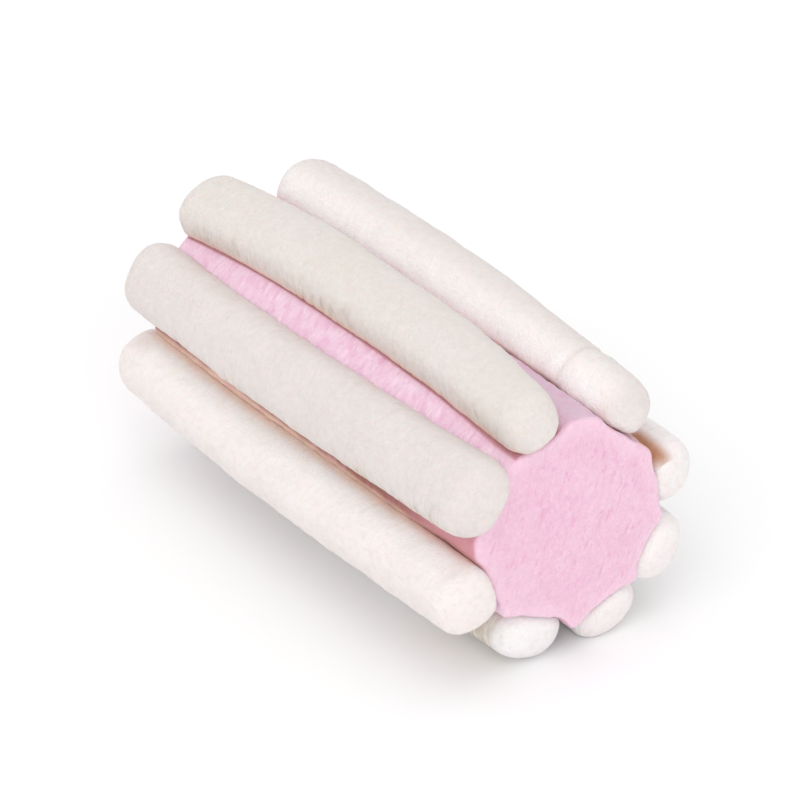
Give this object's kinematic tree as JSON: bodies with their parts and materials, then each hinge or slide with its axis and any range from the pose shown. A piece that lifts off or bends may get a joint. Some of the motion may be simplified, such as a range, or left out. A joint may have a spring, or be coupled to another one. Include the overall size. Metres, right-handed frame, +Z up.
{
  "type": "marshmallow",
  "caption": "Extruded marshmallow stick with a pink core and white ropes laid lengthwise around it, both ends cut square.",
  "frame": {"origin": "centre of the footprint's box on the surface the stick lies on", "axes": "+X runs along the stick, +Z is up, +Y completes the right hand"},
  "size_m": [0.0552, 0.0308, 0.0289],
  "materials": {
    "pink_mallow": "powdery matte",
    "white_mallow": "powdery matte"
  },
  "bodies": {
    "root": {"core": "pink_mallow", "rope_1_right": "white_mallow", "rope_2_upper_right": "white_mallow", "rope_3_top": "white_mallow", "rope_4_upper_left": "white_mallow", "rope_5_left": "white_mallow", "rope_6_lower_left": "white_mallow", "rope_7_lower_right": "white_mallow", "rope_8_right_low": "white_mallow"}
  },
  "joints": []
}
